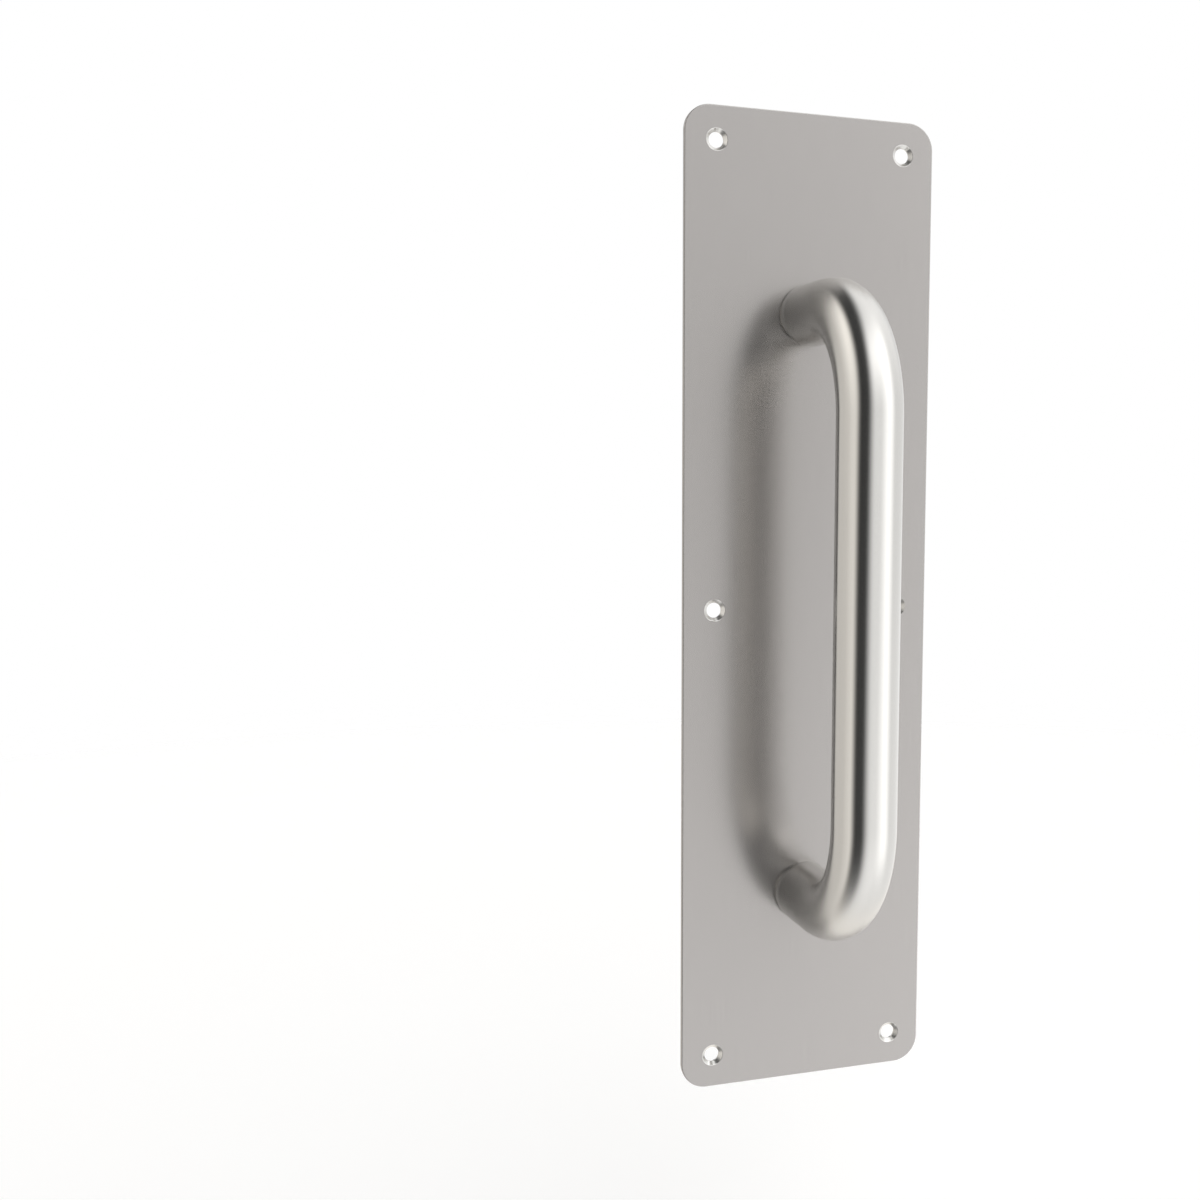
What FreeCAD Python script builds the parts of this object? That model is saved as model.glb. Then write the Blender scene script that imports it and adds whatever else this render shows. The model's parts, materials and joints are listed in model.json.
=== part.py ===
import FreeCAD, Part
import math
import os

import Sketcher
from FreeCAD import Vector

# Door plate with a pull handle. A thin stainless steel plate has six countersunk screw holes, and a
# round tube bent to a D stands on its face. A plug in each end of the tube takes a countersunk screw
# from behind the plate. X runs across the plate, Z is up and the front faces -Y. The origin is the
# centre of the back face.

# Driving sizes, in millimetres. The countersink angle is in degrees, and the handle span is the
# distance between the centres of the tube's two ends.
SIZES = {
    "plate_height": 300.0,
    "plate_width": 80.0,
    "plate_thickness": 1.6,
    "plate_corner_radius": 8.0,
    "plate_edge_chamfer": 0.3,
    "door_hole_side_inset": 10.0,
    "door_hole_end_inset": 10.0,
    "door_hole_diameter": 4.6,
    "door_countersink_diameter": 7.6,
    "countersink_angle": 90.0,
    "handle_span": 180.0,
    "handle_projection": 58.0,
    "bend_radius": 32.0,
    "tube_diameter": 19.0,
    "tube_wall": 1.5,
    "tube_end_chamfer": 0.3,
    "plug_fit_clearance": 0.05,
    "plug_to_bend_gap": 4.5,
    "thread_diameter": 5.0,
    "thread_clearance": 0.05,
    "thread_lead_in": 0.4,
    "screw_length": 12.0,
    "screw_head_diameter": 9.2,
    "screw_head_sink": 0.1,
    "screw_seat_clearance": 0.1,
    "screw_passing_clearance": 0.25,
    "screw_tip_chamfer": 0.6,
    "socket_across_flats": 3.0,
    "socket_depth": 1.6,
}

# Sizes that follow from the driving ones. The countersink slope is the radius gained per depth.
WORKED_OUT = {
    "countersink_slope": "=tan(countersink_angle / 2 * 1deg)",
    "tube_bore": "=tube_diameter - 2 * tube_wall",
    "grip_reach": "=handle_projection - tube_diameter / 2",
    "leg_straight": "=grip_reach - bend_radius",
    "plug_diameter": "=tube_bore - 2 * plug_fit_clearance",
    "plug_length": "=leg_straight - plug_to_bend_gap",
    "plug_hole_diameter": "=thread_diameter + 2 * thread_clearance",
    "plate_hole_diameter": "=thread_diameter + 2 * screw_passing_clearance",
    "back_countersink_diameter": "=screw_head_diameter + 2 * screw_head_sink * countersink_slope"
                                 " + 2 * screw_seat_clearance",
    "plug_countersink_diameter": "=max(back_countersink_diameter - 2 * plate_thickness * countersink_slope;"
                                 " plug_hole_diameter + 2 * thread_lead_in)",
    "screw_head_height": "=(screw_head_diameter - thread_diameter) / 2 / countersink_slope",
    "socket_across_corners": "=socket_across_flats / cos(30deg)",
}

# How a sketch numbers its two axes, and the points of its lines, arcs and circles.
H_AXIS, V_AXIS = range(-1, -3, -1)
START, END, CENTRE = range(1, 4)
ORIGIN = (H_AXIS, START)

# The property that holds the size of each kind of edge dressing.
EDGE_SIZE = {"Fillet": "Radius", "Chamfer": "Size"}

# Lengths closer than this count as the same, in millimetres.
TINY = 0.001


def make_sheet(doc):
    """Fill the spreadsheet: a name in column A and its value or formula, with that alias, in B."""
    sheet = doc.addObject("Spreadsheet::Sheet", "sizes")
    for row, (alias, value) in enumerate({**SIZES, **WORKED_OUT}.items(), start=1):
        sheet.set("A%d" % row, alias)
        sheet.set("B%d" % row, str(value))
        sheet.setAlias("B%d" % row, alias)
    doc.recompute()


def origin_feature(body, role):
    """Return the body's own origin plane or axis that has this role."""
    return next(feature for feature in body.Origin.OriginFeatures if feature.Role == role)


def bind(feature, bindings):
    """Tie each named property of the feature to an expression."""
    for name, expression in bindings.items():
        feature.setExpression(name, expression)


def new_sketch(body, name, role, lift=None):
    """Add a sketch on one of the body's origin planes, raised along the plane's normal by lift."""
    sketch = body.newObject("Sketcher::SketchObject", name)
    sketch.AttachmentSupport = [(origin_feature(body, role), "")]
    sketch.MapMode = "FlatFace"
    if lift:
        sketch.setExpression("AttachmentOffset.Base.z", lift)
    return sketch


def dimension(sketch, name, expression, kind, *places):
    """Add a named dimension whose value is an expression over the sheet."""
    value = sketch.evalExpression(expression)
    index = sketch.addConstraint(Sketcher.Constraint(kind, *places, value))
    sketch.renameConstraint(index, name)
    sketch.setExpression("Constraints." + name, expression)


def draw_circle(sketch, name, diameter, across=None, up=None):
    """Draw a circle at these distances right of and above the sketch's origin, or on its axes."""
    centre = Vector(sketch.evalExpression(across or "0"), sketch.evalExpression(up or "0"), 0)
    radius = sketch.evalExpression(diameter) / 2
    circle = sketch.addGeometry(Part.Circle(centre, Vector(0, 0, 1), radius))
    dimension(sketch, name + "_diameter", diameter, "Diameter", circle)
    if across:
        dimension(sketch, name + "_across", across, "DistanceX", *ORIGIN, circle, CENTRE)
    else:
        sketch.addConstraint(Sketcher.Constraint("PointOnObject", circle, CENTRE, V_AXIS))
    if up:
        dimension(sketch, name + "_up", up, "DistanceY", *ORIGIN, circle, CENTRE)
    else:
        sketch.addConstraint(Sketcher.Constraint("PointOnObject", circle, CENTRE, H_AXIS))
    return circle


def draw_loop(sketch, points):
    """Draw straight lines through the points and back to the first, and join their ends."""
    closed = points[1:] + points[:1]
    lines = [sketch.addGeometry(Part.LineSegment(*ends)) for ends in zip(points, closed)]
    for line, following in zip(lines, lines[1:] + lines[:1]):
        sketch.addConstraint(Sketcher.Constraint("Coincident", line, END, following, START))
    return lines


def edges_where(shape, test):
    """Name the edges of the shape that pass the test."""
    return ["Edge%d" % number for number, edge in enumerate(shape.Edges, start=1) if test(edge)]


def dress_edges(body, kind, name, base, size, test):
    """Add a fillet or chamfer of this size to the edges of the base feature that pass the test."""
    body.Document.recompute()
    dressing = body.newObject("PartDesign::" + kind, name)
    dressing.Base = (base, edges_where(base.Shape, test))
    dressing.setExpression(EDGE_SIZE[kind], size)
    return dressing


def countersunk_hole(body, name, sketch, diameter, head_diameter, from_back):
    """Drill the sketch's circles right through, countersunk on the side that they are drawn on."""
    body.Document.recompute()
    hole = body.newObject("PartDesign::Hole", name)
    hole.Profile = sketch
    hole.DepthType = "ThroughAll"
    hole.HoleCutType = "Countersink"
    hole.HoleCutCustomValues = True
    hole.Reversed = from_back
    bind(hole, {
        "Diameter": diameter,
        "HoleCutDiameter": head_diameter,
        "HoleCutCountersinkAngle": "sizes.countersink_angle * 1deg",
    })
    return hole


def repeat_hole(body, name, hole, down, rows, left=None, columns=1):
    """Repeat a hole in rows over the distance down the plate, and in columns over the one left."""
    pattern = body.newObject("PartDesign::LinearPattern", name)
    pattern.Originals = [hole]
    pattern.Direction = (origin_feature(body, "Z_Axis"), [""])
    pattern.Reversed = True
    pattern.Occurrences = rows
    pattern.setExpression("Length", down)
    if left:
        pattern.Direction2 = (origin_feature(body, "X_Axis"), [""])
        pattern.Reversed2 = True
        pattern.Occurrences2 = columns
        pattern.setExpression("Length2", left)
    body.Tip = pattern
    return pattern


def pad(body, name, sketch, length):
    """Pad the sketch along its plane's normal."""
    feature = body.newObject("PartDesign::Pad", name)
    feature.Profile = sketch
    feature.setExpression("Length", length)
    return feature


def pad_plate_outline(body):
    """Pad the plate's rectangle, drawn about the origin, forward from the back face."""
    sketch = new_sketch(body, "plate_outline", "XZ_Plane")
    across = sketch.evalExpression("sizes.plate_width / 2")
    up = sketch.evalExpression("sizes.plate_height / 2")
    corners = [(across, up), (-across, up), (-across, -up), (across, -up)]
    top, left, bottom, right = draw_loop(sketch, [Vector(*corner) for corner in corners])
    for line in (top, bottom):
        sketch.addConstraint(Sketcher.Constraint("Horizontal", line))
    for line in (left, right):
        sketch.addConstraint(Sketcher.Constraint("Vertical", line))
    sketch.addConstraint(Sketcher.Constraint("Symmetric", top, START, left, END, *ORIGIN))
    dimension(sketch, "width", "sizes.plate_width", "DistanceX", top, END, top, START)
    dimension(sketch, "height", "sizes.plate_height", "DistanceY", left, END, left, START)
    return pad(body, "plate_sheet", sketch, "sizes.plate_thickness")


def drill_door_holes(body):
    """Drill the six holes for the door screws, countersunk from the front."""
    sketch = new_sketch(body, "door_hole_place", "XZ_Plane", "sizes.plate_thickness")
    draw_circle(sketch, "hole", "sizes.door_hole_diameter",
                "sizes.plate_width / 2 - sizes.door_hole_side_inset",
                "sizes.plate_height / 2 - sizes.door_hole_end_inset")
    hole = countersunk_hole(body, "door_hole", sketch, "sizes.door_hole_diameter",
                            "sizes.door_countersink_diameter", from_back=False)
    repeat_hole(body, "door_holes", hole,
                down="sizes.plate_height - 2 * sizes.door_hole_end_inset", rows=3,
                left="sizes.plate_width - 2 * sizes.door_hole_side_inset", columns=2)


def drill_handle_holes(body):
    """Drill the two holes behind the handle's ends, countersunk from the back."""
    sketch = new_sketch(body, "handle_hole_place", "XZ_Plane")
    draw_circle(sketch, "hole", "sizes.plate_hole_diameter", up="sizes.handle_span / 2")
    hole = countersunk_hole(body, "handle_hole", sketch, "sizes.plate_hole_diameter",
                            "sizes.back_countersink_diameter", from_back=True)
    return repeat_hole(body, "handle_holes", hole, down="sizes.handle_span", rows=2)


def is_thickness_edge(edge):
    """Tell whether an edge runs straight from the back face to the front face."""
    box = edge.BoundBox
    return box.XLength < TINY and box.ZLength < TINY


def front_rim(shape, front):
    """Return a test for the edges that bound the front face on its outside."""
    front_face = next(face for face in shape.Faces if face.BoundBox.YMax < front + TINY)
    rim = front_face.OuterWire.Edges
    return lambda edge: any(edge.isSame(other) for other in rim)


def make_back_plate(doc):
    """Make the plate: a sheet with rounded corners, six door holes and two handle holes."""
    body = doc.addObject("PartDesign::Body", "back_plate")
    sheet = pad_plate_outline(body)
    dress_edges(body, "Fillet", "plate_corners", sheet, "sizes.plate_corner_radius", is_thickness_edge)
    drill_door_holes(body)
    drilled = drill_handle_holes(body)
    doc.recompute()
    dress_edges(body, "Chamfer", "plate_front_edge", drilled, "sizes.plate_edge_chamfer",
                front_rim(drilled.Shape, -doc.sizes.plate_thickness))
    return body


def draw_handle_path(sketch):
    """Draw the centreline of the D: out from the plate, down the grip and back, with two bends."""
    reach = sketch.evalExpression("sizes.grip_reach")
    leg = sketch.evalExpression("sizes.leg_straight")
    bend = sketch.evalExpression("sizes.bend_radius")
    top = sketch.evalExpression("sizes.handle_span / 2")
    turn = top - bend
    upright = Vector(0, 0, 1)
    upper_leg = sketch.addGeometry(Part.LineSegment(Vector(0, top, 0), Vector(-leg, top, 0)))
    upper_bend = sketch.addGeometry(Part.ArcOfCircle(
        Part.Circle(Vector(-leg, turn, 0), upright, bend), math.pi / 2, math.pi))
    grip = sketch.addGeometry(Part.LineSegment(Vector(-reach, turn, 0), Vector(-reach, -turn, 0)))
    lower_bend = sketch.addGeometry(Part.ArcOfCircle(
        Part.Circle(Vector(-leg, -turn, 0), upright, bend), math.pi, 3 * math.pi / 2))
    lower_leg = sketch.addGeometry(Part.LineSegment(Vector(-leg, -top, 0), Vector(0, -top, 0)))
    run = (upper_leg, upper_bend, grip, lower_bend, lower_leg)
    for piece, following in zip(run, run[1:]):
        sketch.addConstraint(Sketcher.Constraint("Tangent", piece, END, following, START))
    sketch.addConstraint(Sketcher.Constraint("Vertical", grip))
    sketch.addConstraint(Sketcher.Constraint("Horizontal", upper_leg))
    sketch.addConstraint(Sketcher.Constraint("Equal", upper_bend, lower_bend))
    sketch.addConstraint(Sketcher.Constraint("Symmetric", upper_leg, START, lower_leg, END, *ORIGIN))
    dimension(sketch, "bend", "sizes.bend_radius", "Radius", upper_bend)
    dimension(sketch, "reach", "sizes.grip_reach", "DistanceX", grip, START, *ORIGIN)
    dimension(sketch, "span", "sizes.handle_span", "DistanceY", lower_leg, END, upper_leg, START)


def make_handle_tube(doc):
    """Make the handle: a round tube swept round the D, with both ends square on the plate."""
    body = doc.addObject("PartDesign::Body", "handle_tube")
    path = new_sketch(body, "handle_path", "YZ_Plane")
    draw_handle_path(path)
    section = new_sketch(body, "tube_section", "XZ_Plane")
    for name, diameter in (("outside", "sizes.tube_diameter"), ("bore", "sizes.tube_bore")):
        draw_circle(section, name, diameter, up="sizes.handle_span / 2")
    tube = body.newObject("PartDesign::AdditivePipe", "bent_tube")
    tube.Profile = section
    tube.Spine = path
    outside = doc.sizes.tube_diameter
    dress_edges(body, "Chamfer", "tube_ends", tube, "sizes.tube_end_chamfer",
                lambda edge: edge.BoundBox.YMin > -TINY and edge.BoundBox.XLength > outside - TINY)
    body.setExpression("Placement.Base.y", "-sizes.plate_thickness")
    return body


def make_end_plug(doc, name, side):
    """Make a plug for one end of the tube, tapped right through and countersunk at the plate."""
    body = doc.addObject("PartDesign::Body", name)
    bar_section = new_sketch(body, name + "_section", "XZ_Plane")
    draw_circle(bar_section, "bar", "sizes.plug_diameter")
    pad(body, name + "_bar", bar_section, "sizes.plug_length")
    hole_place = new_sketch(body, name + "_hole_place", "XZ_Plane")
    draw_circle(hole_place, "hole", "sizes.plug_hole_diameter")
    countersunk_hole(body, name + "_hole", hole_place, "sizes.plug_hole_diameter",
                     "sizes.plug_countersink_diameter", from_back=True)
    bind(body, {
        "Placement.Base.y": "-sizes.plate_thickness",
        "Placement.Base.z": "%d * sizes.handle_span / 2" % side,
    })
    return body


def draw_screw_profile(sketch):
    """Draw half of the screw's section: a conical head, the thread's outside and a chamfered tip."""
    head = sketch.evalExpression("sizes.screw_head_diameter / 2")
    thread = sketch.evalExpression("sizes.thread_diameter / 2")
    height = sketch.evalExpression("sizes.screw_head_height")
    length = sketch.evalExpression("sizes.screw_length")
    tip = sketch.evalExpression("sizes.screw_tip_chamfer")
    points = [(0, 0), (head, 0), (thread, -height),
              (thread, tip - length), (thread - tip, -length), (0, -length)]
    top, cone, shank, taper, end, axis = draw_loop(sketch, [Vector(*point) for point in points])
    sketch.addConstraint(Sketcher.Constraint("Coincident", top, START, *ORIGIN))
    for line in (top, end):
        sketch.addConstraint(Sketcher.Constraint("Horizontal", line))
    for line in (shank, axis):
        sketch.addConstraint(Sketcher.Constraint("Vertical", line))
    dimension(sketch, "head_radius", "sizes.screw_head_diameter / 2", "DistanceX", *ORIGIN, top, END)
    dimension(sketch, "thread_radius", "sizes.thread_diameter / 2", "DistanceX", *ORIGIN, cone, END)
    dimension(sketch, "head_height", "sizes.screw_head_height", "DistanceY", cone, END, *ORIGIN)
    dimension(sketch, "length", "sizes.screw_length", "DistanceY", end, END, *ORIGIN)
    dimension(sketch, "tip_height", "sizes.screw_tip_chamfer", "DistanceY", taper, END, taper, START)
    dimension(sketch, "tip_inset", "sizes.screw_tip_chamfer", "DistanceX", taper, END, taper, START)


def draw_hexagon(sketch):
    """Draw the socket's hexagon inside a construction circle about the screw's axis."""
    radius = sketch.evalExpression("sizes.socket_across_corners / 2")
    circle = draw_circle(sketch, "corners", "sizes.socket_across_corners")
    sketch.toggleConstruction(circle)
    angles = [math.radians(60 * turn) for turn in range(6)]
    corners = [Vector(radius * math.cos(angle), radius * math.sin(angle)) for angle in angles]
    sides = draw_loop(sketch, corners)
    for side in sides:
        sketch.addConstraint(Sketcher.Constraint("PointOnObject", side, START, circle))
    for side in sides[1:]:
        sketch.addConstraint(Sketcher.Constraint("Equal", sides[0], side))
    sketch.addConstraint(Sketcher.Constraint("PointOnObject", sides[0], START, H_AXIS))


def make_fixing_screw(doc, name, side):
    """Make a countersunk machine screw with a hexagon socket, just below the plate's back face."""
    body = doc.addObject("PartDesign::Body", name)
    profile = new_sketch(body, name + "_profile", "XY_Plane")
    draw_screw_profile(profile)
    turned = body.newObject("PartDesign::Revolution", name + "_turned")
    turned.Profile = profile
    turned.ReferenceAxis = (profile, ["V_Axis"])
    turned.Angle = 360
    hexagon = new_sketch(body, name + "_hexagon", "XZ_Plane")
    draw_hexagon(hexagon)
    socket = body.newObject("PartDesign::Pocket", name + "_socket")
    socket.Profile = hexagon
    socket.Reversed = True
    socket.setExpression("Length", "sizes.socket_depth")
    bind(body, {
        "Placement.Base.y": "-sizes.screw_head_sink",
        "Placement.Base.z": "%d * sizes.handle_span / 2" % side,
    })
    return body


def check_features(doc):
    """Stop if any object failed, or any sub-part isn't a valid single solid."""
    for item in doc.Objects:
        if "Invalid" in item.State or "Error" in item.State:
            raise RuntimeError("%s failed: %s" % (item.Name, item.State))
    for body in doc.findObjects("PartDesign::Body"):
        shape = body.Shape
        if shape.isNull() or not shape.isValid() or len(shape.Solids) != 1:
            raise RuntimeError("%s is not one valid solid" % body.Label)


def check_cuts(doc):
    """Stop if a hole or socket took no material away from the feature before it."""
    for cut in doc.findObjects("PartDesign::Hole") + doc.findObjects("PartDesign::Pocket"):
        if cut.Shape.Volume >= cut.BaseFeature.Shape.Volume - TINY:
            raise RuntimeError("%s cuts nothing" % cut.Name)


def write_parts(bodies):
    """Write each sub-part to a STEP file named after it."""
    os.makedirs("parts", exist_ok=True)
    for body in bodies:
        body.Shape.exportStep("parts/%s.step" % body.Label)
        print("%-20s %10.1f cubic mm" % (body.Label, body.Shape.Volume))


doc = FreeCAD.newDocument("door_plate")
make_sheet(doc)
bodies = [make_back_plate(doc), make_handle_tube(doc)]
for end_name, side in (("upper", 1), ("lower", -1)):
    bodies.append(make_end_plug(doc, end_name + "_end_plug", side))
    bodies.append(make_fixing_screw(doc, end_name + "_fixing_screw", side))
doc.recompute()
check_features(doc)
check_cuts(doc)
write_parts(bodies)
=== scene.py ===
import json
import math

import bmesh
import bpy
from mathutils import Matrix, Vector


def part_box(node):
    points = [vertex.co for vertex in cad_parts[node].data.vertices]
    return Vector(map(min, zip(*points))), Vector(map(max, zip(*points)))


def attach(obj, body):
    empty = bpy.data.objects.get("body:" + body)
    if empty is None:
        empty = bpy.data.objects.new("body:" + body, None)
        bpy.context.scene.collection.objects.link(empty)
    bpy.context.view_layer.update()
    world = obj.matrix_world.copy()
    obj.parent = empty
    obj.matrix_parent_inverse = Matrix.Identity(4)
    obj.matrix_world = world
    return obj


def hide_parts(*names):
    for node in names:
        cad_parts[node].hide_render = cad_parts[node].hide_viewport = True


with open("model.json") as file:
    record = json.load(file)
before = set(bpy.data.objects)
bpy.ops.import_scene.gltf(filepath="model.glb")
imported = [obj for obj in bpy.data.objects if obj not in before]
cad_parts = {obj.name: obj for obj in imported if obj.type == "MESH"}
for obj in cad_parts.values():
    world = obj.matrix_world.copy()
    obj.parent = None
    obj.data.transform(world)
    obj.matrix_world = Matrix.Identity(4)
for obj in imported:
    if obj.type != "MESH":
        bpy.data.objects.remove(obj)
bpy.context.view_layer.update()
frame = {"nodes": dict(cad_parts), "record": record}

# A satin stainless steel door plate with a bent tube handle, dressed around its solids. Lengths are in
# metres and angles in degrees. X runs across the plate, Z is up and the front faces -Y.

MOUNTS = {mount["name"]: mount for mount in frame["record"]["mounts"]}
COLORS = {finish["slot"]: finish["base_color"] for finish in frame["record"]["materials"]}

# The plate: its flat size is the node's box. Its edges are rounded at the front and eased at the back.
# Edges between faces that turn by more than the sharp angle are shaded sharp.
PLATE_LOW, PLATE_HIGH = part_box("back_plate")
PLATE_BACK = PLATE_HIGH.y
PLATE_FRONT = PLATE_LOW.y
CORNER_RADIUS = 0.008
CORNER_STEPS = 24
FRONT_EDGE_RADIUS = 0.0003
BACK_EDGE_RADIUS = 0.0001
EDGE_STEPS = 6
PLATE_SHARP_ANGLE = 17

# The door holes' pattern comes from the record's mounts. Their countersinks are drawn 1 mm narrower than
# the solid's, as wide as in the photograph. The holes' walls have the plate's second material.
HOLE_PATTERN = MOUNTS["corner_holes"]["dims"]
DOOR_HOLE_RADIUS = HOLE_PATTERN["hole_r_mm"] / 1000
DOOR_HOLE_X = HOLE_PATTERN["spacing_x_mm"] / 2000
DOOR_HOLE_Z = HOLE_PATTERN["spacing_y_mm"] / 2000
DOOR_COUNTERSINK_RADIUS = 0.0033
BACK_COUNTERSINK_RADIUS = 0.0048
HOLE_EDGE_BREAK = 0.00005
HOLE_STEPS = 64
HOLE_MATERIAL = 1

# The handle: a tube on a D-shaped line, with the bends' radius and the wall as the solid has them. The
# grain map runs along it.
TUBE_LOW, TUBE_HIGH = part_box("handle_tube")
TUBE_RADIUS = (TUBE_HIGH.x - TUBE_LOW.x) / 2
TUBE_WALL = 0.0015
TUBE_END_CHAMFER = 0.0001
BEND_RADIUS = 0.032
LEG_Z = TUBE_HIGH.z - TUBE_RADIUS
GRIP_Y = TUBE_LOW.y + TUBE_RADIUS
TUBE_STEPS = 96
LEG_STEPS = 6
BEND_STEPS = 36
GRIP_STEPS = 24
TUBE_SHARP_ANGLE = 30
GRAIN_MAP = "grain"

# The steels' finishes. Grain is the number of streaks in a metre along X, Y and Z, and relief their depth.
PLATE_FINISH = {"roughness": 0.21, "grain": (5000, 5000, 60), "relief": 0.000002, "metallic": 0.8}
TUBE_FINISH = {"roughness": 0.25, "grain": (3000, 3000, 3000), "relief": 0.0000005, "anisotropy": 0.83}
CUT_FINISH = {"roughness": 0.20, "grain": (300, 9000, 300), "relief": 0.000003, "metallic": 0.85}
PLUG_FINISH = {"roughness": 0.38, "grain": (300, 9000, 300), "relief": 0.00001}
# The screw steel carries painted shade in its sockets.
SCREW_FINISH = {"roughness": 0.32, "grain": (600, 600, 600), "relief": 0.000002, "painted_socket_shade": True}
CUT_COLOR = (0.68, 0.67, 0.65)

# How far the streaks move every steel's tone, as shares of its colour, and how far they and the wider
# clouds move its roughness.
TONE_RANGE = (0.94, 1.06)
STREAK_DETAIL = 3.0
STREAK_ROUGHNESS = 0.08
CLOUDS_PER_METRE = 18.0
CLOUD_DETAIL = 2.0
CLOUD_ROUGHNESS = 0.02

# The screws' sockets, seen from the back, darken between these heights along Y: painted shade in the recess.
SOCKET_SHADE_FADE = (-0.0011, -0.0003)
SOCKET_SHADE_COLOR = (0.06, 0.059, 0.057, 1)

# The camera, solved from the photograph's 1200-pixel frame.
CAMERA_PLACE = Vector((-0.1659, -0.4477, 0.0446))
CAMERA_HEADING = 20.86
CAMERA_TILT = -5.63
CAMERA_ROLL = 0.67
CAMERA_NEAR = 0.01
PHOTO_SIZE = 1200
FOCAL_PIXELS = 1534.6
PRINCIPAL_POINT = (819.3, 615.9)
SENSOR_WIDTH = 36.0

# The floor lies a little way below the plate, which a door would hold up. It fades out between two shares
# of its radius, and glows a little where the camera sees it.
FLOOR_Z = PLATE_LOW.z - 0.10
FLOOR_RADIUS = 1.5
FLOOR_STEPS = 96
FLOOR_FADE = (0.6, 0.98)
FLOOR_COLOR = (0.88, 0.88, 0.88, 1)
FLOOR_GLOW = 0.16

# The studio, seen from the object. A direction's u says how far to the right it points and its v how far
# up: both are 0 straight ahead of the plate, and 1 square to it. The least depth ahead keeps them finite
# straight behind it. Each zone has a strength, then the lowest and highest u and the softness of those
# edges, then the same for v.
LEAST_AHEAD = 0.05
LIT_ZONES = (
    (0.66, (0.27, 0.64, 0.28, -0.40, 0.25, 0.36)),
    (0.90, (-0.24, 0.61, 0.28, 0.27, 0.65, 0.50)),
    (0.18, (-0.79, 2.50, 0.12, -1.29, -0.10, 0.40)),
    (0.66, (-1.34, -0.51, 1.00, 0.33, 1.42, 1.00)),
    (0.29, (0.20, 1.60, 0.50, 0.36, 2.50, 0.80)),
    (0.12, (0.00, 0.24, 0.20, -0.70, -0.08, 0.16)),
    (0.22, (-1.50, 3.00, 0.80, -8.00, -1.20, 0.60)),
)
LEFT_DIMMING = 0.17
LEFT_EDGE = (-1.20, -0.83)

# The light is warmer at the left and from below, inside these limits of u and v.
WARM_ZONES = (
    (-6.00, -0.50, 0.30, -1.60, 1.60, 0.50),
    (-6.00, 6.00, 0.50, -8.00, -1.00, 0.80),
)
WARM_COLOR = (1.0, 0.965, 0.915, 1.0)
WHITE = (1.0, 1.0, 1.0, 1.0)

# The dark flag at the left: an upright strip that widens upwards, and fades and curls away at its foot.
FLAG_STRENGTH = 0.95
FLAG_U = -0.37
FLAG_LEAN = 0.048
FLAG_HALF_WIDTH = 0.23
FLAG_SOFTNESS = 1.08
FLAG_SPREAD_START = 0.50
FLAG_SPREAD = 0.18
FLAG_CURL_START = -0.353
FLAG_CURL = 0.62
FLAG_FADE = (-1.45, -0.30)


def quarter_turn(steps):
    """Give the angles from 0 to 90 degrees, both included, in radians."""
    return [math.pi / 2 * step / steps for step in range(steps + 1)]


def full_turn(steps):
    """Give the angles once round a circle, in radians."""
    return [2 * math.pi * step / steps for step in range(steps)]


def mesh_piece(name, bm, node):
    """Turn the bmesh into a piece that replaces a solid and rides where it does."""
    bmesh.ops.recalc_face_normals(bm, faces=bm.faces)
    mesh = bpy.data.meshes.new(name)
    bm.to_mesh(mesh)
    bm.free()
    piece = bpy.data.objects.new(name, mesh)
    bpy.context.scene.collection.objects.link(piece)
    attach(piece, "root")
    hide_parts(node)
    return piece


def join_rings(bm, rings, material=0):
    """Make smooth quads between each ring of vertices and the next."""
    for ring, following in zip(rings, rings[1:]):
        for i, (a, b) in enumerate(zip(ring, following)):
            face = bm.faces.new((ring[i - 1], a, b, following[i - 1]))
            face.smooth = True
            face.material_index = material


def sharpen(bm, degrees):
    """Mark the edges that turn by more than this as sharp."""
    for edge in bm.edges:
        if len(edge.link_faces) == 2 and edge.calc_face_angle() > math.radians(degrees):
            edge.smooth = False


def plate_ring(bm, inset, y):
    """Add a ring of vertices round the plate's outline, moved inwards by inset."""
    radius = CORNER_RADIUS - inset
    centre_x = PLATE_HIGH.x - CORNER_RADIUS
    centre_z = PLATE_HIGH.z - CORNER_RADIUS
    ring = []
    for turn, (side_x, side_z) in enumerate(((1, 1), (-1, 1), (-1, -1), (1, -1))):
        for step in range(CORNER_STEPS + 1):
            angle = math.pi / 2 * (turn + step / CORNER_STEPS)
            x = side_x * centre_x + radius * math.cos(angle)
            z = side_z * centre_z + radius * math.sin(angle)
            ring.append(bm.verts.new((x, y, z)))
    return ring


def circle_ring(bm, x, z, radius, y):
    """Add a ring of vertices round a hole."""
    return [bm.verts.new((x + radius * math.cos(angle), y, z + radius * math.sin(angle)))
            for angle in full_turn(HOLE_STEPS)]


def rim_profile():
    """Give the plate's edge, from back face to front face, as pairs of inset and Y."""
    profile = []
    for angle in quarter_turn(EDGE_STEPS):
        profile.append((BACK_EDGE_RADIUS * (1 - math.sin(angle)),
                        PLATE_BACK - BACK_EDGE_RADIUS * (1 - math.cos(angle))))
    for angle in quarter_turn(EDGE_STEPS):
        profile.append((FRONT_EDGE_RADIUS * (1 - math.cos(angle)),
                        PLATE_FRONT + FRONT_EDGE_RADIUS * (1 - math.sin(angle))))
    return profile


def door_hole_profile():
    """Give a door hole's wall, from front face to back face, as pairs of radius and Y."""
    cone_depth = DOOR_COUNTERSINK_RADIUS - DOOR_HOLE_RADIUS
    return [
        (DOOR_COUNTERSINK_RADIUS + HOLE_EDGE_BREAK, PLATE_FRONT),
        (DOOR_COUNTERSINK_RADIUS - HOLE_EDGE_BREAK, PLATE_FRONT + HOLE_EDGE_BREAK),
        (DOOR_HOLE_RADIUS, PLATE_FRONT + cone_depth),
        (DOOR_HOLE_RADIUS, PLATE_BACK),
    ]


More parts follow.
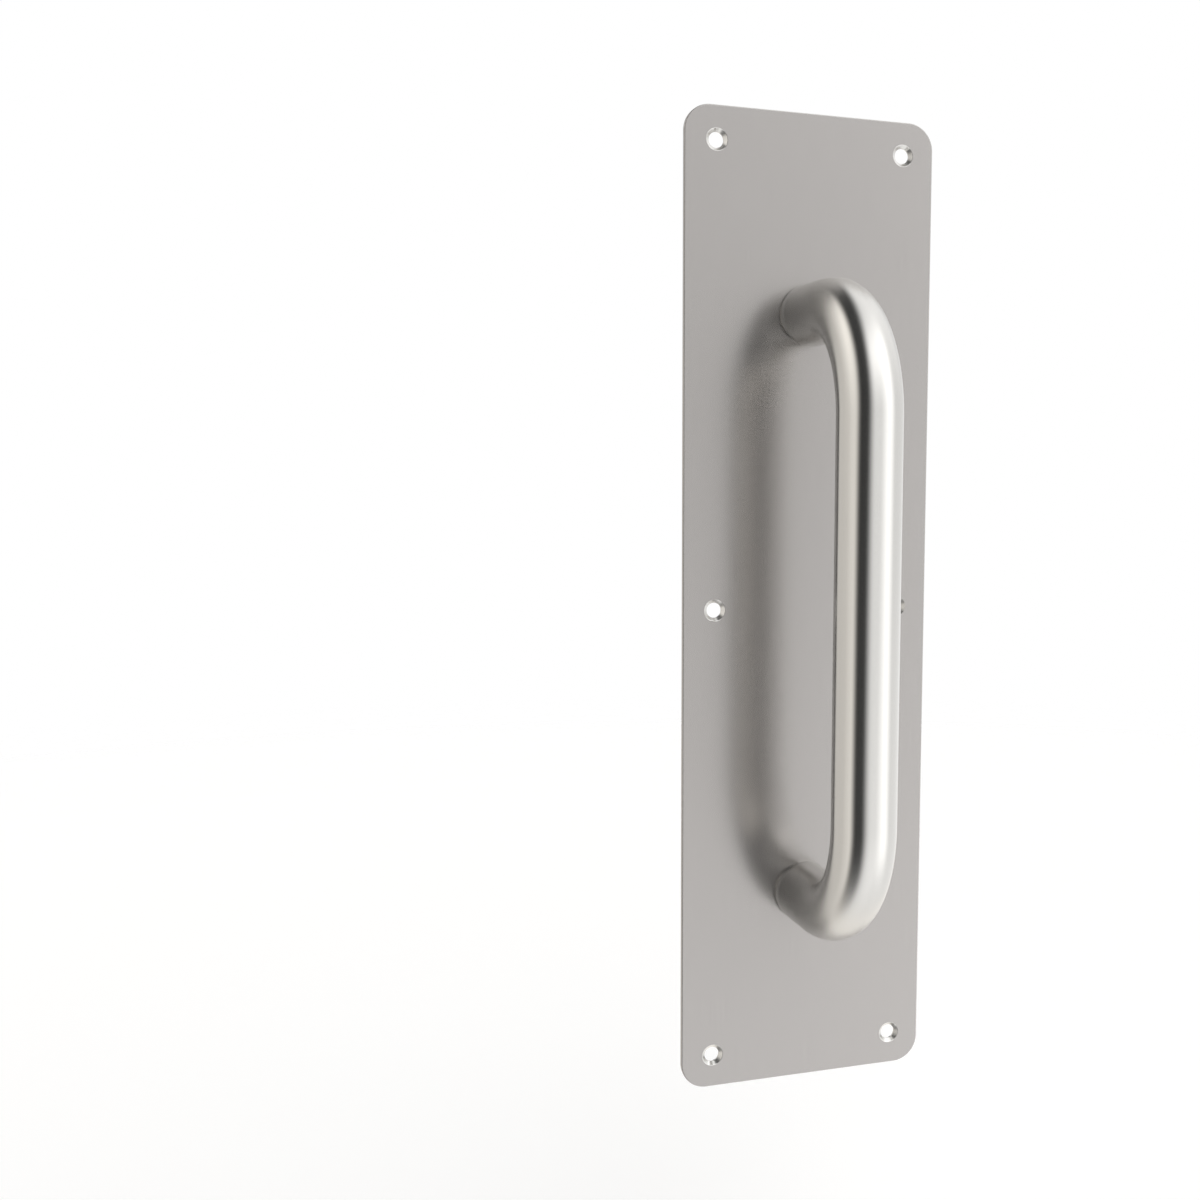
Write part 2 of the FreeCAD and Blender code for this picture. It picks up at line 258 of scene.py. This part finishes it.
def handle_hole_profile():
    """Give a handle hole's wall, a cone that opens to the back, as pairs of radius and Y."""
    thickness = PLATE_BACK - PLATE_FRONT
    return [
        (BACK_COUNTERSINK_RADIUS - thickness, PLATE_FRONT),
        (BACK_COUNTERSINK_RADIUS - HOLE_EDGE_BREAK, PLATE_BACK - HOLE_EDGE_BREAK),
        (BACK_COUNTERSINK_RADIUS + HOLE_EDGE_BREAK, PLATE_BACK),
    ]


def ring_edges(bm, ring):
    """Return the edges between neighbouring vertices of a closed ring."""
    return [bm.edges.get((a, b)) for a, b in zip(ring, ring[1:] + ring[:1])]


def fill_face(bm, loops):
    """Fill the flat face between the plate's rim and the rings round its holes."""
    edges = [edge for loop in loops for edge in ring_edges(bm, loop)]
    filled = bmesh.ops.triangle_fill(bm, use_beauty=True, edges=edges)
    for item in filled["geom"]:
        if isinstance(item, bmesh.types.BMFace):
            item.smooth = False


def build_plate():
    """Build the plate: a rounded rim, the walls of its holes, and flat faces between them."""
    bm = bmesh.new()
    rim = [plate_ring(bm, inset, y) for inset, y in rim_profile()]
    join_rings(bm, rim)
    back_loops, front_loops = [rim[0]], [rim[-1]]
    door_holes = [(x, z) for x in (-DOOR_HOLE_X, DOOR_HOLE_X) for z in (-DOOR_HOLE_Z, 0, DOOR_HOLE_Z)]
    handle_holes = [(0, -LEG_Z), (0, LEG_Z)]
    for centres, profile in ((door_holes, door_hole_profile()), (handle_holes, handle_hole_profile())):
        for x, z in centres:
            wall = [circle_ring(bm, x, z, radius, y) for radius, y in profile]
            join_rings(bm, wall, HOLE_MATERIAL)
            front_loops.append(wall[0])
            back_loops.append(wall[-1])
    fill_face(bm, front_loops)
    fill_face(bm, back_loops)
    sharpen(bm, PLATE_SHARP_ANGLE)
    return mesh_piece("pull_plate", bm, "back_plate")


def handle_line():
    """Give the D's centreline from the upper end to the lower, as pairs of a place and the way of travel."""
    leg_end = GRIP_Y + BEND_RADIUS
    bend_z = LEG_Z - BEND_RADIUS
    line = []
    for step in range(LEG_STEPS):
        y = TUBE_HIGH.y + (leg_end - TUBE_HIGH.y) * step / LEG_STEPS
        line.append((Vector((0, y, LEG_Z)), Vector((0, -1, 0))))
    for angle in quarter_turn(BEND_STEPS)[:-1]:
        place = Vector((0, leg_end - BEND_RADIUS * math.sin(angle), bend_z + BEND_RADIUS * math.cos(angle)))
        line.append((place, Vector((0, -math.cos(angle), -math.sin(angle)))))
    for step in range(GRIP_STEPS + 1):
        line.append((Vector((0, GRIP_Y, bend_z * (1 - step / GRIP_STEPS))), Vector((0, 0, -1))))
    lower_half = [(Vector((0, place.y, -place.z)), Vector((0, -way.y, way.z))) for place, way in line[-2::-1]]
    return line + lower_half


def tube_ring(bm, place, way, radius):
    """Add a ring of vertices square to the way of travel."""
    side = Vector((1, 0, 0))
    up = side.cross(way)
    return [bm.verts.new(place + radius * (math.cos(angle) * side + math.sin(angle) * up))
            for angle in full_turn(TUBE_STEPS)]


def lay_grain(bm):
    """Map the rings of vertices so that the first coordinate runs along the tube and the second round it."""
    bm.verts.index_update()
    grain = bm.loops.layers.uv.new(GRAIN_MAP)
    for face in bm.faces:
        for loop in face.loops:
            loop[grain].uv = divmod(loop.vert.index, TUBE_STEPS)


def build_handle():
    """Build the handle: the tube's outside and bore, joined by chamfered ends."""
    bm = bmesh.new()
    line = handle_line()
    (first, first_way), (last, last_way) = line[0], line[-1]
    full_width = [(first + first_way * TUBE_END_CHAMFER, first_way)] + line[1:-1]
    full_width.append((last - last_way * TUBE_END_CHAMFER, last_way))
    outside = [tube_ring(bm, first, first_way, TUBE_RADIUS - TUBE_END_CHAMFER)]
    outside += [tube_ring(bm, place, way, TUBE_RADIUS) for place, way in full_width]
    outside.append(tube_ring(bm, last, last_way, TUBE_RADIUS - TUBE_END_CHAMFER))
    bore = [tube_ring(bm, place, way, TUBE_RADIUS - TUBE_WALL) for place, way in reversed(line)]
    join_rings(bm, outside + bore + outside[:1])
    lay_grain(bm)
    sharpen(bm, TUBE_SHARP_ANGLE)
    return mesh_piece("pull_handle", bm, "handle_tube")


class Nodes:
    """A short way to add and join shader nodes in one tree."""

    def __init__(self, tree):
        self.tree = tree
        tree.nodes.clear()

    def add(self, kind, **settings):
        """Add a node with these settings."""
        node = self.tree.nodes.new(kind)
        for name, value in settings.items():
            setattr(node, name, value)
        return node

    def put(self, value, socket):
        """Set the socket to a plain value, or join it to another node's output."""
        if isinstance(value, bpy.types.NodeSocket):
            self.tree.links.new(value, socket)
        else:
            socket.default_value = value

    def math(self, operation, *values, clamp=False):
        """Work out one step of arithmetic."""
        node = self.add("ShaderNodeMath", operation=operation, use_clamp=clamp)
        for value, socket in zip(values, node.inputs):
            self.put(value, socket)
        return node.outputs[0]

    def mix(self, factor, a, b, kind="RGBA"):
        """Pass from a to b as the factor goes from 0 to 1. Both are colours, or numbers if kind is FLOAT."""
        node = self.add("ShaderNodeMix", data_type=kind)
        for name, value in (("Factor", factor), ("A", a), ("B", b)):
            self.put(value, node.inputs[name])
        return node.outputs["Result"]

    def ramp(self, value, low, high, start=0.0, end=1.0):
        """Pass smoothly from start to end as the value goes from low to high."""
        node = self.add("ShaderNodeMapRange", interpolation_type="SMOOTHSTEP")
        for name, number in (("Value", value), ("From Min", low), ("From Max", high),
                             ("To Min", start), ("To Max", end)):
            self.put(number, node.inputs[name])
        return node.outputs[0]

    def band(self, value, low, high, soft):
        """Give 1 between low and high, and fade to 0 over soft on both sides."""
        rise = self.ramp(value, low - soft / 2, low + soft / 2)
        fall = self.ramp(value, high - soft / 2, high + soft / 2, 1.0, 0.0)
        return self.math("MULTIPLY", rise, fall)

    def noise(self, vector, scale, detail):
        """Give a cloudy pattern from 0 to 1."""
        node = self.add("ShaderNodeTexNoise")
        self.put(vector, node.inputs["Vector"])
        node.inputs["Scale"].default_value = scale
        node.inputs["Detail"].default_value = detail
        return node.outputs["Fac"]

    def stretch(self, vector, scale):
        """Scale a vector by its own amount along each axis."""
        node = self.add("ShaderNodeVectorMath", operation="MULTIPLY")
        self.put(vector, node.inputs[0])
        node.inputs[1].default_value = scale
        return node.outputs[0]

    def split(self, vector):
        """Give the vector's X, Y and Z."""
        node = self.add("ShaderNodeSeparateXYZ")
        self.put(vector, node.inputs[0])
        return node.outputs

    def show(self, shader, output="ShaderNodeOutputMaterial"):
        """Join the finished shader to the tree's output."""
        self.put(shader, self.add(output).inputs["Surface"])


def new_material(name):
    """Make an empty node material and its helper."""
    material = bpy.data.materials.new(name)
    material.use_nodes = True
    return material, Nodes(material.node_tree)


def assign(piece, *materials):
    """Give the piece these materials: the first to the faces numbered 0, the next to those numbered 1."""
    slots = piece.data.materials
    for number, material in enumerate(materials):
        if number < len(slots):
            slots[number] = material
        else:
            slots.append(material)


def steel_roughness(nodes, place, streaks, roughness):
    """Vary the roughness round this value with the streaks and with wider clouds."""
    clouds = nodes.noise(place, CLOUDS_PER_METRE, CLOUD_DETAIL)
    smoothest = roughness - (STREAK_ROUGHNESS + CLOUD_ROUGHNESS) / 2
    streaked = nodes.math("MULTIPLY_ADD", streaks, STREAK_ROUGHNESS, smoothest)
    return nodes.math("MULTIPLY_ADD", clouds, CLOUD_ROUGHNESS, streaked)


def steel_relief(nodes, streaks, relief):
    """Raise the streaks by this depth."""
    bump = nodes.add("ShaderNodeBump")
    nodes.put(1.0, bump.inputs["Strength"])
    nodes.put(relief, bump.inputs["Distance"])
    nodes.put(streaks, bump.inputs["Height"])
    return bump.outputs["Normal"]


def steel(name, color, roughness, grain, relief, anisotropy=0.0, metallic=1.0, painted_socket_shade=False):
    """Make a brushed steel: fine streaks along the grain vary its tone, roughness and relief.

    Anisotropy spreads reflections along the tube, as polishing marks that run round it do. A metallic value
    below 1 adds a matt haze. Painted socket shade turns the steel dark a little way below the plate's back
    face.
    """
    material, nodes = new_material(name)
    place = nodes.add("ShaderNodeTexCoord").outputs["Object"]
    streaks = nodes.noise(nodes.stretch(place, grain), 1.0, STREAK_DETAIL)
    darkest, lightest = ((*(share * part for part in color), 1) for share in TONE_RANGE)
    tone = nodes.mix(streaks, darkest, lightest)
    # Painted shade: the socket's steel fades to a dark colour below the screw head's face.
    if painted_socket_shade:
        socket_shade_mask = nodes.ramp(nodes.split(place)["Y"], *SOCKET_SHADE_FADE, 1.0, 0.0)
        tone = nodes.mix(socket_shade_mask, tone, SOCKET_SHADE_COLOR)
    shader = nodes.add("ShaderNodeBsdfPrincipled")
    nodes.put(tone, shader.inputs["Base Color"])
    nodes.put(metallic, shader.inputs["Metallic"])
    nodes.put(steel_roughness(nodes, place, streaks, roughness), shader.inputs["Roughness"])
    nodes.put(steel_relief(nodes, streaks, relief), shader.inputs["Normal"])
    if anisotropy:
        along = nodes.add("ShaderNodeTangent", direction_type="UV_MAP", uv_map=GRAIN_MAP)
        nodes.put(anisotropy, shader.inputs["Anisotropic"])
        nodes.put(along.outputs[0], shader.inputs["Tangent"])
    nodes.show(shader.outputs["BSDF"])
    return material


def floor_material():
    """Make a pale surface that steel doesn't mirror: the studio below shows in the steel instead."""
    material, nodes = new_material("pale_floor")
    path = nodes.add("ShaderNodeLightPath")
    diffuse = nodes.add("ShaderNodeBsdfDiffuse")
    diffuse.inputs["Color"].default_value = FLOOR_COLOR
    glow = nodes.add("ShaderNodeEmission")
    nodes.put(nodes.math("MULTIPLY", path.outputs["Is Camera Ray"], FLOOR_GLOW), glow.inputs["Strength"])
    both = nodes.add("ShaderNodeAddShader")
    nodes.put(diffuse.outputs[0], both.inputs[0])
    nodes.put(glow.outputs[0], both.inputs[1])
    reach = nodes.add("ShaderNodeVectorMath", operation="LENGTH")
    nodes.put(nodes.add("ShaderNodeTexCoord").outputs["Object"], reach.inputs[0])
    rim = nodes.ramp(reach.outputs["Value"], *(share * FLOOR_RADIUS for share in FLOOR_FADE))
    clear = nodes.add("ShaderNodeMixShader")
    nodes.put(nodes.math("MAXIMUM", rim, path.outputs["Is Glossy Ray"]), clear.inputs[0])
    nodes.put(both.outputs[0], clear.inputs[1])
    nodes.put(nodes.add("ShaderNodeBsdfTransparent").outputs[0], clear.inputs[2])
    nodes.show(clear.outputs[0])
    return material


def build_floor():
    """Lay a round pale floor that keeps its shadows, and whose rim melts into the white around it."""
    bpy.ops.mesh.primitive_circle_add(vertices=FLOOR_STEPS, radius=FLOOR_RADIUS, fill_type="NGON",
                                      location=(0, 0, FLOOR_Z))
    floor = bpy.context.object
    floor.name = "floor"
    assign(floor, floor_material())


def studio_direction(nodes):
    """Give the u and v of each direction in the studio."""
    x, y, z = nodes.split(nodes.add("ShaderNodeTexCoord").outputs["Generated"])
    ahead = nodes.math("MAXIMUM", nodes.math("SUBTRACT", 1.0, y), LEAST_AHEAD)
    return nodes.math("DIVIDE", x, ahead), nodes.math("DIVIDE", z, ahead)


def zone(nodes, u, v, limits):
    """Give 1 inside a zone of the studio, and fade to 0 at its edges."""
    low, high, soft, bottom, top, fade = limits
    return nodes.math("MULTIPLY", nodes.band(u, low, high, soft), nodes.band(v, bottom, top, fade))


def dark_flag(nodes, u, v):
    """Give the flag's darkness, from 0 beside it to 1 along its middle."""
    below = nodes.math("MAXIMUM", nodes.math("SUBTRACT", FLAG_CURL_START, v), 0.0)
    curl = nodes.math("MULTIPLY", nodes.math("MULTIPLY", below, below), FLAG_CURL)
    middle = nodes.math("SUBTRACT", nodes.math("MULTIPLY_ADD", v, FLAG_LEAN, FLAG_U), curl)
    above = nodes.math("MAXIMUM", nodes.math("SUBTRACT", v, FLAG_SPREAD_START), 0.0)
    half_width = nodes.math("MULTIPLY_ADD", above, FLAG_SPREAD, FLAG_HALF_WIDTH)
    across = nodes.math("DIVIDE", nodes.math("SUBTRACT", u, middle), half_width)
    return nodes.math("MULTIPLY", nodes.band(across, -1.0, 1.0, FLAG_SOFTNESS), nodes.ramp(v, *FLAG_FADE))


def studio_light(nodes, u, v):
    """Give the studio's brightness, which is 1 where no zone, dimming or flag changes it."""
    light = nodes.ramp(u, *LEFT_EDGE, 1.0 - LEFT_DIMMING, 1.0)
    for strength, limits in LIT_ZONES:
        gain = nodes.math("MULTIPLY_ADD", zone(nodes, u, v, limits), strength, 1.0)
        light = nodes.math("MULTIPLY", light, gain)
    passed = nodes.math("MULTIPLY_ADD", dark_flag(nodes, u, v), -FLAG_STRENGTH, 1.0)
    return nodes.math("MULTIPLY", light, passed)


def build_world():
    """Light the object from the studio, whose walls are plain white where the camera sees them."""
    world = bpy.data.worlds.new("studio")
    bpy.context.scene.world = world
    world.use_nodes = True
    nodes = Nodes(world.node_tree)
    u, v = studio_direction(nodes)
    path = nodes.add("ShaderNodeLightPath")
    unseen = nodes.math("SUBTRACT", 1.0, path.outputs["Is Camera Ray"])
    warmth = nodes.math("ADD", *(zone(nodes, u, v, limits) for limits in WARM_ZONES), clamp=True)
    tint = nodes.mix(nodes.math("MULTIPLY", warmth, unseen), WHITE, WARM_COLOR)
    strength = nodes.mix(unseen, 1.0, studio_light(nodes, u, v), "FLOAT")
    background = nodes.add("ShaderNodeBackground")
    nodes.put(tint, background.inputs["Color"])
    nodes.put(strength, background.inputs["Strength"])
    nodes.show(background.outputs[0], "ShaderNodeOutputWorld")


def build_camera():
    """Place the camera where the photograph was taken from, with the same framing."""
    data = bpy.data.cameras.new("photo_camera")
    data.sensor_width = SENSOR_WIDTH
    data.lens = SENSOR_WIDTH * FOCAL_PIXELS / PHOTO_SIZE
    data.shift_x = (PHOTO_SIZE / 2 - PRINCIPAL_POINT[0]) / PHOTO_SIZE
    data.shift_y = (PRINCIPAL_POINT[1] - PHOTO_SIZE / 2) / PHOTO_SIZE
    data.clip_start = CAMERA_NEAR
    camera = bpy.data.objects.new("photo_camera", data)
    turn = Matrix.Rotation(math.radians(-CAMERA_HEADING), 4, "Z")
    tilt = Matrix.Rotation(math.radians(90 + CAMERA_TILT), 4, "X")
    roll = Matrix.Rotation(math.radians(CAMERA_ROLL), 4, "Z")
    camera.matrix_world = Matrix.Translation(CAMERA_PLACE) @ turn @ tilt @ roll
    bpy.context.scene.collection.objects.link(camera)
    bpy.context.scene.camera = camera


build_camera()
build_world()
build_floor()
plate_steel = steel("satin_plate_steel", COLORS["plate_steel"], **PLATE_FINISH)
tube_steel = steel("satin_tube_steel", COLORS["tube_steel"], **TUBE_FINISH)
cut_steel = steel("cut_steel", CUT_COLOR, **CUT_FINISH)
plug_steel = steel("turned_plug_steel", COLORS["plug_steel"], **PLUG_FINISH)
screw_steel = steel("screw_steel_painted_socket_shade", COLORS["screw_steel"], **SCREW_FINISH)
assign(build_plate(), plate_steel, cut_steel)
assign(build_handle(), tube_steel)
for end in ("upper", "lower"):
    assign(frame["nodes"][end + "_end_plug"], plug_steel)
    assign(frame["nodes"][end + "_fixing_screw"], screw_steel)

bpy.context.scene.view_settings.view_transform = "Standard"
